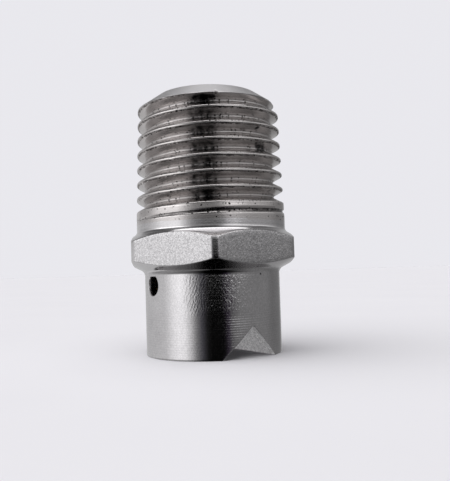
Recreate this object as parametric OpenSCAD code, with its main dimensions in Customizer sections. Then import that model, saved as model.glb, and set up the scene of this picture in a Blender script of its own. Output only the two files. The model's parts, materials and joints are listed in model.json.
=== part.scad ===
// Flat-jet burner nozzle with a taper thread inlet, a thin wrench hexagon,
// an air port in the skirt and a V groove across the outlet face.
// Millimetres. Z = 0 is the outlet face, +Z points up the nozzle axis to the
// inlet, the V groove runs along Y and the air port opens towards -X.

/* [Body] */
// Length of the body from the outlet face to the inlet end
body_len = 23.3; // [23.0:0.1:24.2]
// Diameter of the plain outlet skirt
skirt_d = 12.2; // [11.6:0.1:12.8]
// Diameter of the plain shoulder between the hexagon and the thread
shoulder_d = 13.48; // [13.40:0.02:13.60]
// Radius of the concave blend between the skirt and the hexagon
skirt_blend = 0.60; // [0.3:0.05:0.8]
// Radius of the concave blend between the hexagon and the shoulder
shoulder_blend = 0.35; // [0.2:0.05:0.5]
// Edge break round the outlet face
outlet_break = 0.12; // [0.05:0.01:0.30]

/* [Wrench hexagon] */
// Width across the flats
hex_af = 14.0; // [13.8:0.1:15.0]
// Diameter that truncates the corners
hex_corner_d = 15.88; // [15.6:0.04:16.08]
// Height of the lower edge of the flats, at the middle of a flat
hex_z0 = 7.86; // [7.6:0.02:8.2]
// Height of the upper edge of the flats, at the middle of a flat
hex_z1 = 10.66; // [10.4:0.02:11.0]
// Slope of the lower corner chamfer, in degrees
hex_slope_low = 27; // [20:1:32]
// Slope of the upper corner chamfer, in degrees
hex_slope_high = 31; // [20:1:35]

/* [Inlet taper thread R 1/4] */
// Pitch, 19 threads to the inch
pitch = 1.337; // [1.30:0.001:1.37]
// Diameter over the crests at the inlet end, taper 1 in 16
crest_d = 12.782; // [12.70:0.002:12.86]
// Thread depth
thread_h = 0.856; // [0.60:0.002:0.88]
// Height of one crest on the +X side
crest_z = 22.713; // [22.0:0.001:23.4]
// Height where the last turn of the groove has faded out
runout_z = 11.55; // [11.50:0.05:11.80]
// Radius of the flat inlet end inside the thread chamfer
end_r = 4.6; // [4.4:0.05:5.2]
// Radius where the thread chamfer leaves the thread
chamfer_r = 6.20; // [6.1:0.05:6.4]
// Height where the thread chamfer leaves the thread
chamfer_z = 22.20; // [22.0:0.05:22.6]

/* [Outlet groove and air port] */
// Depth of the 90 degree V groove
groove_depth = 2.72; // [2.3:0.02:2.9]
// Diameter of the air port in the skirt
port_d = 1.75; // [1.4:0.05:1.9]
// Height of the air port centre
port_z = 6.24; // [6.0:0.02:6.3]

/* [Bores] */
// Diameter of the main bore behind the inlet
bore_d = 7.6; // [7.4:0.05:7.8]
// Diameter of the hole that the orifice insert is pressed into
tip_d = 4.0; // [3.6:0.1:4.4]
// Diameter of the orifice insert's head and its seat
head_d = 6.0; // [5.4:0.1:6.4]
// Radial clearance of the stacked inner pieces in the main bore
stack_gap = 0.02; // [0.01:0.01:0.05]

/* [Orifice] */
// Diameter of the round feed bore that ends in a dome
dome_d = 1.5; // [1.3:0.05:1.7]
// Distance that the V groove cuts past the tip of the dome
dome_cut = 0.17; // [0.10:0.01:0.25]

/* [Check valve] */
// Ball diameter
ball_d = 3.2; // [3.0:0.05:3.3]
// Diameter of the passage through the valve seat
seat_bore_d = 2.2; // [1.8:0.05:2.2]
// Spring wire diameter
wire_d = 0.30; // [0.2:0.02:0.34]
// Mean diameter of the spring coils
coil_d = 2.5; // [2.3:0.05:2.7]
// Number of spring turns, closed end turns included
coil_turns = 5; // [4:0.5:5.5]

/* [Strainer] */
// Outer diameter of the wire cloth sleeve
mesh_d = 5.5; // [5.3:0.05:5.7]
// Thickness of the wire cloth sleeve
mesh_t = 0.15; // [0.10:0.01:0.20]

/* [Hidden] */
$fn = 96;
eps = 0.01;

skirt_r = skirt_d / 2;
shoulder_r = shoulder_d / 2;
flat_r = hex_af / 2;
corner_r = hex_corner_d / 2;
bore_r = bore_d / 2;
tip_r = tip_d / 2;
head_r = head_d / 2;
stack_r = bore_r - stack_gap;

// heights of the stack in the main bore, from the outlet upwards
tip_seat_z = 4.0;
tube_z0 = 5.0;
tube_z1 = 9.0;
washer_t = 0.3;
jet_head_z = tube_z1 + washer_t;
cage_web_z0 = 10.6;
cage_web_z1 = 11.1;
cage_z1 = 15.0;
seat_z1 = 16.5;
gasket_z1 = 16.8;
flange_z1 = 17.6;
ring_t = 0.55;
mesh_z1 = 21.9;
cap_z1 = 22.5;

// tangent points of the two concave blends
lb = [skirt_r + skirt_blend, 0];
lb_off = skirt_blend * [-sin(hex_slope_low), cos(hex_slope_low)];
lb_z = hex_z0 - (flat_r - (lb[0] + lb_off[0])) * tan(hex_slope_low) - lb_off[1];
ub_off = -shoulder_blend * [sin(hex_slope_high), cos(hex_slope_high)];
ub_r = shoulder_r + shoulder_blend;
ub_z = hex_z1 - (ub_r + ub_off[0] - flat_r) * tan(hex_slope_high) - ub_off[1];

// outline of the turned body up to the plane where the thread starts
thread_z0 = 11.45;
// the threaded blank starts inside the shoulder and stands 0.03 mm below it
blank_z0 = 10.2;
blank_r = shoulder_r - 0.03;
function arc(cr, cz, r, a0, a1, n = 8) =
    [for (i = [0:n]) let (a = a0 + (a1 - a0) * i / n) [cr + r * cos(a), cz + r * sin(a)]];
lower_outline = concat(
    [[0, 0], [skirt_r - outlet_break, 0], [skirt_r, outlet_break]],
    arc(lb[0], lb_z, skirt_blend, 180, 90 + hex_slope_low),
    [[corner_r, hex_z0 + (corner_r - flat_r) * tan(hex_slope_low)],
     [corner_r, hex_z1 - (corner_r - flat_r) * tan(hex_slope_high)]],
    arc(ub_r, ub_z, shoulder_blend, 270 - hex_slope_high, 180),
    [[shoulder_r, thread_z0], [0, thread_z0]]
);

// thread form: 55 degrees, flats of a sixth of the pitch at crest and root
flat_w = pitch / 6;
flank_w = (pitch - 2 * flat_w) / 2;
function crest_r(z) = min(blank_r, crest_d / 2 + (body_len - z) / 32);
// share of the full depth against the height above the end of the run-out
runout_form = [[0, 0], [0.35, 0.02], [0.7, 0.08], [1.0, 0.17], [1.35, 0.53], [1.7, 0.93], [2.05, 1]];
function depth_at(zg) = thread_h * lookup(zg - runout_z, runout_form);
// height of a groove centre at angle a, a half pitch below the crest
function groove_z(a, turn) = crest_z - pitch / 2 + pitch * (a / 360 + turn);
// radius of the thread surface at angle a and height z
function thread_r(a, z) =
    let (t = (z - groove_z(a, 0)) / pitch, n = round(t), d = abs(t - n) * pitch,
         f = d <= flat_w / 2 ? 1 : d >= flat_w / 2 + flank_w ? 0 : 1 - (d - flat_w / 2) / flank_w)
    crest_r(z) - depth_at(groove_z(a, n)) * f;

// helical sheet: columns round the axis, four points to each pitch; the last
// column joins the first one pitch higher
cols = 40;
turn_lo = floor((blank_z0 - crest_z) / pitch) - 1;
turn_hi = ceil((body_len + 1 - crest_z) / pitch) + 1;
form = [-flat_w / 2, flat_w / 2, flat_w / 2 + flank_w, flat_w / 2 + flank_w + flat_w];
rows = 4 * (turn_hi - turn_lo);
function sheet_point(c, m) =
    let (a = 360 * c / cols, turn = turn_lo + floor(m / 4),
         z = groove_z(a, turn) + form[m % 4],
         zc = z < thread_z0 + 0.25 ? blank_z0 : min(body_len + 1, z),
         r = zc == blank_z0 ? blank_r : thread_r(a, zc))
    [r * cos(a), r * sin(a), zc];
module thread_blank() {
    pts = concat(
        [for (c = [0:cols - 1]) for (m = [0:rows]) sheet_point(c, m)],
        [[0, 0, blank_z0], [0, 0, body_len + 1]]);
    function id(c, m) = c * (rows + 1) + m;
    bottom = cols * (rows + 1);
    sides = [for (c = [0:cols - 2]) for (m = [0:rows - 1]) each
        [[id(c, m), id(c, m + 1), id(c + 1, m + 1)], [id(c, m), id(c + 1, m + 1), id(c + 1, m)]]];
    seam = [for (m = [0:rows - 5]) each
        [[id(cols - 1, m), id(cols - 1, m + 1), id(0, m + 5)], [id(cols - 1, m), id(0, m + 5), id(0, m + 4)]]];
    seam_top = [for (m = [rows - 4:rows - 1])
        [id(cols - 1, m), id(cols - 1, m + 1), id(0, rows)]];
    foot = [for (c = [0:cols - 1]) [bottom, id(c, 0), id((c + 1) % cols, 0)]];
    head = [for (c = [0:cols - 1]) [bottom + 1, id((c + 1) % cols, rows), id(c, rows)]];
    polyhedron(points = pts, faces = concat(sides, seam, seam_top, foot, head), convexity = 12);
}

module v_cut() {
    rotate([90, 0, 0])
        linear_extrude(height = 30, center = true)
            polygon([[0, groove_depth], [-groove_depth - 1, -1], [groove_depth + 1, -1]]);
}

module ring(r0, r1, z0, z1) {
    translate([0, 0, z0]) difference() {
        cylinder(r = r1, h = z1 - z0);
        translate([0, 0, -1]) cylinder(r = r0, h = z1 - z0 + 2);
    }
}

module nozzle_body() {
    color([0.74, 0.73, 0.71]) difference() {
        union() {
            intersection() {
                rotate_extrude() polygon(lower_outline);
                translate([0, 0, -1]) cylinder(r = flat_r / cos(30), h = body_len + 2, $fn = 6);
            }
            intersection() {
                thread_blank();
                rotate_extrude() polygon([
                    [0, blank_z0 - 1], [7.5, blank_z0 - 1],
                    [7.5, chamfer_z - (7.5 - chamfer_r) * (body_len - chamfer_z) / (chamfer_r - end_r)],
                    [end_r, body_len], [0, body_len]]);
            }
        }
        v_cut();
        // pressed-in orifice insert and its head
        translate([0, 0, -1]) cylinder(r = tip_r, h = tip_seat_z + 2);
        translate([0, 0, tip_seat_z]) cylinder(r = head_r, h = 3);
        // main bore, snap ring groove and inlet lead-in
        translate([0, 0, tube_z0]) cylinder(r = bore_r, h = body_len);
        translate([0, 0, flange_z1]) cylinder(r = bore_r + 0.35, h = ring_t + 0.05);
        translate([0, 0, body_len - 0.3]) cylinder(r1 = bore_r, r2 = bore_r + 0.4, h = 0.4);
        // air port
        translate([-bore_r + 1, 0, port_z]) rotate([0, -90, 0]) cylinder(r = port_d / 2, h = 8);
    }
}

// hardened insert: round feed bore with a domed end that the V groove opens
// into a cat-eye slot along Y
module orifice_insert() {
    dome_z = groove_depth - dome_cut + dome_d / 2;
    color([0.50, 0.50, 0.51]) difference() {
        union() {
            cylinder(r = tip_r, h = tip_seat_z + eps);
            translate([0, 0, tip_seat_z]) cylinder(r = head_r, h = tube_z0 - tip_seat_z);
        }
        v_cut();
        translate([0, 0, dome_z]) sphere(r = dome_d / 2);
        translate([0, 0, dome_z]) cylinder(r = dome_d / 2, h = 4);
        translate([0, 0, tube_z0 - 0.6]) cylinder(r1 = dome_d / 2, r2 = dome_d / 2 + 0.7, h = 0.7);
    }
}

// mixing tube: the ring gallery behind the air port feeds four cross holes
// that open into the throat
module venturi_tube() {
    color([0.80, 0.66, 0.36]) difference() {
        translate([0, 0, tube_z0]) cylinder(r = stack_r, h = tube_z1 - tube_z0);
        ring(3.0, stack_r + 1, port_z - 0.87, port_z + 0.87);
        translate([0, 0, tube_z0 - 1]) cylinder(r = 0.9, h = 5);
        translate([0, 0, tube_z0 - 0.1]) cylinder(r1 = 1.5, r2 = 0.9, h = 0.9);
        translate([0, 0, 7.6]) cylinder(r = 1.9, h = 3);
        for (a = [45:90:315]) rotate([0, 0, a])
            translate([0, 0, port_z]) rotate([0, 90, 0]) cylinder(r = 0.4, h = 5);
    }
}

module jet_washer() {
    color([0.78, 0.45, 0.30]) ring(1.95, 2.8, tube_z1, jet_head_z);
}

// screwed metering jet with a driver slot across its head
module metering_jet() {
    color([0.83, 0.69, 0.38]) difference() {
        union() {
            translate([0, 0, 7.75]) cylinder(r = 1.88, h = jet_head_z - 7.75 + eps);
            translate([0, 0, jet_head_z]) cylinder(r = 2.7, h = 1.0);
        }
        translate([0, 0, 7]) cylinder(r = 0.30, h = 5);
        translate([0, 0, 7.7]) cylinder(r1 = 0.8, r2 = 0.30, h = 0.6);
        translate([0, 0, 9.1]) cylinder(r = 0.75, h = 3);
        translate([-4, -0.3, jet_head_z + 0.55]) cube([8, 0.6, 2]);
    }
}

// cup that locates the spring and leaves the flow a way past the ball
module spring_cage() {
    color([0.82, 0.68, 0.40]) difference() {
        translate([0, 0, tube_z1]) cylinder(r = stack_r, h = cage_z1 - tube_z1);
        translate([0, 0, tube_z1 - 1]) cylinder(r = 2.9, h = cage_web_z0 - tube_z1 + 1);
        translate([0, 0, cage_web_z1]) cylinder(r = 2.1, h = 9);
        translate([0, 0, tube_z1]) cylinder(r = 0.75, h = 9);
        for (a = [30:120:270]) rotate([0, 0, a])
            translate([1.45, 0, cage_web_z0 - 1]) cylinder(r = 0.35, h = 2);
    }
}

// compression spring with closed end turns
spring_z0 = cage_web_z1 + wire_d / 2 + 0.01;
ball_z = cage_z1 - 0.38;
spring_z1 = ball_z - sqrt(pow(ball_d / 2 + wire_d / 2 + 0.02, 2) - pow(coil_d / 2, 2));
coil_seg = 16;
function coil_rise(t) =
    let (u = t * coil_turns, e = wire_d * 1.02, active = coil_turns - 2,
         gap = (spring_z1 - spring_z0 - 2 * e) / active)
    u < 1 ? e * u : u > coil_turns - 1 ? spring_z1 - spring_z0 - e * (coil_turns - u) : e + gap * (u - 1);
module valve_spring() {
    n = round(coil_turns * coil_seg);
    k = 6;
    wr = wire_d / 2;
    pts = concat(
        [for (i = [0:n]) let (a = 360 * i / coil_seg, z = spring_z0 + coil_rise(i / n))
            for (j = [0:k - 1]) let (b = 360 * j / k + 30, r = coil_d / 2 + wr * cos(b))
                [r * cos(a), r * sin(a), z + wr * sin(b)]]);
    walls = [for (i = [0:n - 1]) for (j = [0:k - 1])
        let (p = i * k + j, q = i * k + (j + 1) % k)
        each [[p, q + k, q], [p, p + k, q + k]]];
    start = [for (j = [1:k - 2]) [0, j, j + 1]];
    finish = [for (j = [1:k - 2]) [n * k, n * k + j + 1, n * k + j]];
    color([0.66, 0.66, 0.68]) polyhedron(points = pts, faces = concat(walls, start, finish), convexity = 10);
}

module valve_ball() {
    color([0.86, 0.86, 0.87]) translate([0, 0, ball_z]) sphere(r = ball_d / 2);
}

// seat with a 90 degree cone for the ball and a rim groove for the seal
module valve_seat() {
    cone_r = ball_d / 2 * cos(45);
    cone_z = ball_z + ball_d / 2 * sin(45) + 0.02;
    color([0.83, 0.69, 0.38]) difference() {
        translate([0, 0, cage_z1]) cylinder(r = stack_r, h = seat_z1 - cage_z1);
        translate([0, 0, cage_z1 - 1]) cylinder(r = seat_bore_d / 2, h = 4);
        translate([0, 0, cone_z - 2]) cylinder(r1 = cone_r + 2, r2 = cone_r - 0.3, h = 2.3);
        ring(3.08, stack_r + 1, 15.4, 16.14);
    }
}

module seat_o_ring() {
    color([0.10, 0.10, 0.10]) translate([0, 0, 15.77])
        rotate_extrude() translate([(3.08 + bore_r) / 2, 0]) circle(r = (bore_r - 3.08) / 2);
}

module strainer_gasket() {
    color([0.90, 0.89, 0.85]) ring(1.45, stack_r - 0.1, seat_z1, gasket_z1);
}

// snap ring that holds the stack, open by a gap
module retaining_ring() {
    color([0.30, 0.30, 0.31]) difference() {
        ring(3.1, bore_r + 0.32, flange_z1, flange_z1 + ring_t);
        translate([0, 0, flange_z1 - 1]) linear_extrude(height = 3)
            polygon([[0, 0], [8 * cos(75), 8 * sin(75)], [8 * cos(105), 8 * sin(105)]]);
    }
}

// flanged core tube with two rows of cross holes inside the wire cloth
module strainer_core() {
    color([0.83, 0.69, 0.38]) difference() {
        union() {
            translate([0, 0, gasket_z1]) cylinder(r = stack_r, h = flange_z1 - gasket_z1);
            translate([0, 0, gasket_z1]) cylinder(r = mesh_d / 2 - mesh_t - 0.01, h = 1.2);
            translate([0, 0, gasket_z1]) cylinder(r = 1.9, h = mesh_z1 - gasket_z1);
        }
        translate([0, 0, gasket_z1 - 1]) cylinder(r = 1.2, h = 12);
        for (z = [18.9, 20.2]) for (a = [0, 90]) translate([0, 0, z])
            rotate([0, 0, z > 20 ? a + 45 : a]) rotate([0, 90, 0])
                cylinder(r = 0.45, h = 10, center = true);
    }
}

module strainer_mesh() {
    color([0.70, 0.69, 0.66]) ring(mesh_d / 2 - mesh_t, mesh_d / 2, flange_z1, mesh_z1);
}

// cap over the end of the wire cloth, with a driver slot
module strainer_cap() {
    cap_r = mesh_d / 2 + 0.2;
    color([0.83, 0.69, 0.38]) difference() {
        union() {
            translate([0, 0, mesh_z1]) cylinder(r = cap_r, h = cap_z1 - mesh_z1 - 0.15);
            translate([0, 0, cap_z1 - 0.15]) cylinder(r1 = cap_r, r2 = cap_r - 0.15, h = 0.15);
            ring(mesh_d / 2 + 0.01, cap_r, mesh_z1 - 0.6, mesh_z1 + eps);
            translate([0, 0, mesh_z1 - 1]) cylinder(r = 1.19, h = 1.1);
        }
        translate([-1.6, -0.25, cap_z1 - 0.35]) cube([3.2, 0.5, 1]);
    }
}

nozzle_body();
orifice_insert();
venturi_tube();
jet_washer();
metering_jet();
spring_cage();
valve_spring();
valve_ball();
valve_seat();
seat_o_ring();
strainer_gasket();
retaining_ring();
strainer_core();
strainer_mesh();
strainer_cap();
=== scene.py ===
import bpy, math, json
import numpy as np
from mathutils import Matrix, Vector

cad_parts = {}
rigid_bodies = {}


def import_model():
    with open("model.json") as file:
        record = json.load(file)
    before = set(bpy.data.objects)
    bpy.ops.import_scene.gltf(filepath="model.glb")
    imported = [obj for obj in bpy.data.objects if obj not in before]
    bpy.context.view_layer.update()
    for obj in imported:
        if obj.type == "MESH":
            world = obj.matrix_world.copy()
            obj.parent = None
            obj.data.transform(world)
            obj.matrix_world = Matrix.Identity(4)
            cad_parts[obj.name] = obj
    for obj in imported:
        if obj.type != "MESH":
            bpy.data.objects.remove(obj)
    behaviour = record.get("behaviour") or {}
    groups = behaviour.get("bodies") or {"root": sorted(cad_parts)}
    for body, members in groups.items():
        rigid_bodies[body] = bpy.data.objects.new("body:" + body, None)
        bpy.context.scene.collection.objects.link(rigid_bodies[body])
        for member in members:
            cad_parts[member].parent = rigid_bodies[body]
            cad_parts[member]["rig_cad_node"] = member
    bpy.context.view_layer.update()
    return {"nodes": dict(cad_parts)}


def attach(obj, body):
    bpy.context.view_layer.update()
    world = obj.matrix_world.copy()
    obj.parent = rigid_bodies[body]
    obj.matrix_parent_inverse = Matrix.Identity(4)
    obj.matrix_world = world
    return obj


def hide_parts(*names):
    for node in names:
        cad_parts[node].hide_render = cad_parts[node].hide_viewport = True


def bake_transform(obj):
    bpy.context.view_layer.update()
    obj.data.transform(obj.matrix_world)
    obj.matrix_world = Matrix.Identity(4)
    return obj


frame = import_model()
for old in [o for o in bpy.data.objects if o.type in ("LIGHT", "CAMERA") or o.name == "Cube"]:
    if "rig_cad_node" not in old.keys():
        bpy.data.objects.remove(old)
scene = bpy.context.scene
MM = 0.001
TAU = 2 * math.pi
rng = np.random.default_rng(20)

# ------------------------------------------------------------------ sizes, mm
L = 23.3
SKIRT_R, SHOULDER_R, FLAT_R, CORNER_R = 6.10, 6.74, 7.0, 7.94
HEX_Z0, HEX_Z1 = 7.86, 10.66
SLOPE_LO, SLOPE_HI = math.radians(27), math.radians(31)
BLEND_LO, BLEND_HI = 0.60, 0.50
PITCH, THREAD_H, CREST_Z = 1.337, 0.856, 22.713
FLAT_W = PITCH / 6
FLANK_W = (PITCH - 2 * FLAT_W) / 2
END_R, CH_R, CH_Z = 4.6, 6.20, 22.20
V_DEPTH = 2.72
CORNER_K = 0.08
PORT_R, PORT_Z = 0.875, 6.24
BORE_R, TIP_R, HEAD_R = 3.8, 2.0, 3.0


def smin(a, b, k):
    h = np.maximum(k - np.abs(a - b), 0) / k
    return np.minimum(a, b) - h * h * k / 4


def smax(a, b, k):
    return -smin(-a, -b, k)


def wobble(theta, z, seed, n=10, az=(1, 9), zf=(0.2, 3.0)):
    """Smooth repeatable noise on the turned surface, about -1 to 1, whole in theta."""
    g = np.random.default_rng(seed)
    out = np.zeros(np.broadcast(theta, z).shape)
    for _ in range(n):
        k = g.integers(az[0], az[1] + 1)
        f = g.uniform(*zf)
        out += g.uniform(0.4, 1) * np.sin(k * theta + f * z * TAU / 4 + g.uniform(0, TAU))
    return out / n * 1.6


# ------------------------------------------------------- the outer surface
def low_profile(z):
    """Radius of the skirt, its blend and the lower corner chamfer."""
    cx = SKIRT_R + BLEND_LO
    dr = -BLEND_LO * math.sin(SLOPE_LO)
    dz = BLEND_LO * math.cos(SLOPE_LO)
    z0 = HEX_Z0 - (FLAT_R - (cx + dr)) * math.tan(SLOPE_LO) - dz
    t = np.clip(z - z0, 0, dz)
    arc = cx - np.sqrt(np.maximum(BLEND_LO ** 2 - t ** 2, 0))
    line = cx + dr + (z - z0 - dz) / math.tan(SLOPE_LO)
    return np.where(z < z0 + dz, arc, line)


def high_profile(z):
    """Radius of the upper corner chamfer, its blend and the shoulder."""
    cx = SHOULDER_R + BLEND_HI
    dr = -BLEND_HI * math.sin(SLOPE_HI)
    dz = -BLEND_HI * math.cos(SLOPE_HI)
    zc = HEX_Z1 - (cx + dr - FLAT_R) * math.tan(SLOPE_HI) - dz
    t = np.clip(z - zc, dz, 0)
    arc = cx - np.sqrt(np.maximum(BLEND_HI ** 2 - t ** 2, 0))
    line = cx + dr + (zc + dz - z) / math.tan(SLOPE_HI)
    return np.where(z > zc + dz, arc, line)


def groove_centre(theta, turn):
    return CREST_Z - PITCH / 2 + PITCH * (theta / TAU + turn)


RUN_Z = [11.55, 11.9, 12.25, 12.55, 12.9, 13.25, 13.6]
RUN_D = [0.0, 0.017, 0.068, 0.146, 0.454, 0.796, THREAD_H]


def thread(theta, z):
    """(radius of the threaded surface, share of the full depth cut away there)."""
    th = np.mod(theta, TAU)
    n = np.round((z - groove_centre(th, 0)) / PITCH)
    zg = groove_centre(th, n)
    d = np.abs(z - zg)
    depth = np.interp(zg, RUN_Z, RUN_D)
    y = (d - 0.098) / 0.452 * THREAD_H
    y = smax(y, np.zeros_like(y), 0.10)
    cut = THREAD_H - y - (THREAD_H - depth)
    cut = smax(cut, np.zeros_like(cut), np.clip(0.015 + 0.30 * depth, 0.015, 0.14))
    crest = np.minimum(SHOULDER_R, 12.782 / 2 + (L - z) / 32)
    return crest - cut, cut / THREAD_H


# dark residue spots: angle to the right of the front in degrees, height, radius, size
MARKS = [(8, 22.15, 6.2, 0.20), (56, 17.45, 5.95, 0.70), (50, 17.62, 5.95, 0.46), (44, 19.35, 6.2, 0.30), (-33, 13.95, 6.10, 0.36), (-2, 21.6, 5.9, 0.60), (-9, 21.65, 5.95, 0.40), (5, 21.72, 5.95, 0.42), (-1, 13.25, 6.0, 0.60), (43, 7.0, 6.1, 0.11), (-9, 12.9, 6.1, 0.30),
         (55, 14.4, 6.15, 0.45), (150, 16.2, 6.0, 0.5), (205, 19.6, 6.0, 0.45), (-120, 13.8, 6.1, 0.4)]
# small dents on the thread crests: angle from the port side in degrees, height, width, depth
CAM_AZ = -33.5
DENTS = [(-28, 17.0, 1.6, 0.10), (-30, 14.6, 1.3, 0.12), (8, 22.2, 1.6, 0.05), (48, 19.0, 1.5, 0.06),
         (-55, 20.4, 1.4, 0.06), (140, 18.0, 2.0, 0.08), (200, 15.5, 1.8, 0.08), (100, 20.0, 1.5, 0.06)]


def outer_radius(theta, z):
    a = np.mod(theta, math.pi / 3) - math.pi / 6
    hexa = FLAT_R / np.cos(a)
    r = smin(hexa, np.full_like(hexa, CORNER_R), CORNER_K)
    r = smin(r, low_profile(z), 0.09)
    r = smin(r, high_profile(z), 0.09)
    rt, cut = thread(theta, z)
    above = z > 11.3
    r = np.where(above, np.minimum(r, rt), r)
    cut = np.where(above, cut, 0)
    cham = CH_R + (CH_Z - z) * (CH_R - END_R) / (L - CH_Z)
    edge = wobble(theta, z * 0, 5, 22, (6, 60)) * 0.018
    r = np.where(z > 21.5, smin(r, cham + edge, 0.05), r)
    # dents and a slightly uneven crest
    crest = np.clip(1 - cut * 5, 0, 1) * (z > 12.8) * (z < 22.6)
    r = r + crest * (wobble(theta, z, 7, 26, (8, 70), (0.2, 6)) * 0.010 - 0.004)
    for az, dz, wid, dep in DENTS:
        t0 = math.radians(az + CAM_AZ - 90)
        dt = np.angle(np.exp(1j * (theta - t0)))
        r = r - dep * crest * np.exp(-((np.degrees(dt) / wid) ** 2) - ((z - dz) / 0.5) ** 2)
    return r, cut


# ------------------------------------------------------------- column angles
def columns(n):
    t = np.linspace(0, TAU, 20001)
    dens = np.ones_like(t)

    def bump(t0, w, a):
        d = np.abs(np.angle(np.exp(1j * (t - t0))))
        return a * np.exp(-(d / w) ** 2)

    half = math.pi / 6 - math.acos(FLAT_R / CORNER_R)
    for k in range(6):
        for s in (-1, 1):
            dens += bump(k * math.pi / 3 + s * half, math.radians(0.9), 3.5)
    for k in (1, 3):
        dens += bump(k * math.pi / 2, math.radians(0.5), 7)
        for s in (-1, 1):
            dens += bump(k * math.pi / 2 + s * math.asin(V_DEPTH / SKIRT_R), math.radians(1.2), 3)
    cum = np.concatenate([[0], np.cumsum((dens[1:] + dens[:-1]) / 2)])
    return np.interp(np.arange(n) / n * cum[-1], cum, t)


def v_surface(x):
    """Height of the outlet end: the V groove along Y, softened along its edges and its root."""
    v = V_DEPTH - np.sqrt(x * x + 0.0004)
    return smax(v, np.zeros_like(v), 0.05)


def make_mesh(name, verts, faces, attrs=None, smooth=True, sharp=None):
    me = bpy.data.meshes.new(name)
    me.from_pydata((np.asarray(verts) * MM).tolist(), [], faces)
    me.validate()
    me.update()
    if smooth:
        me.shade_smooth()
        if sharp:
            me.set_sharp_from_angle(angle=math.radians(sharp))
    for key, val in (attrs or {}).items():
        a = me.attributes.new(key, "FLOAT", "POINT")
        a.data.foreach_set("value", np.asarray(val, np.float32))
    ob = bpy.data.objects.new(name, me)
    scene.collection.objects.link(ob)
    return ob


def fix_normals(ob):
    import bmesh
    bm = bmesh.new()
    bm.from_mesh(ob.data)
    bmesh.ops.remove_doubles(bm, verts=bm.verts, dist=1e-8)
    bmesh.ops.recalc_face_normals(bm, faces=bm.faces)
    bm.to_mesh(ob.data)
    bm.free()


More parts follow.
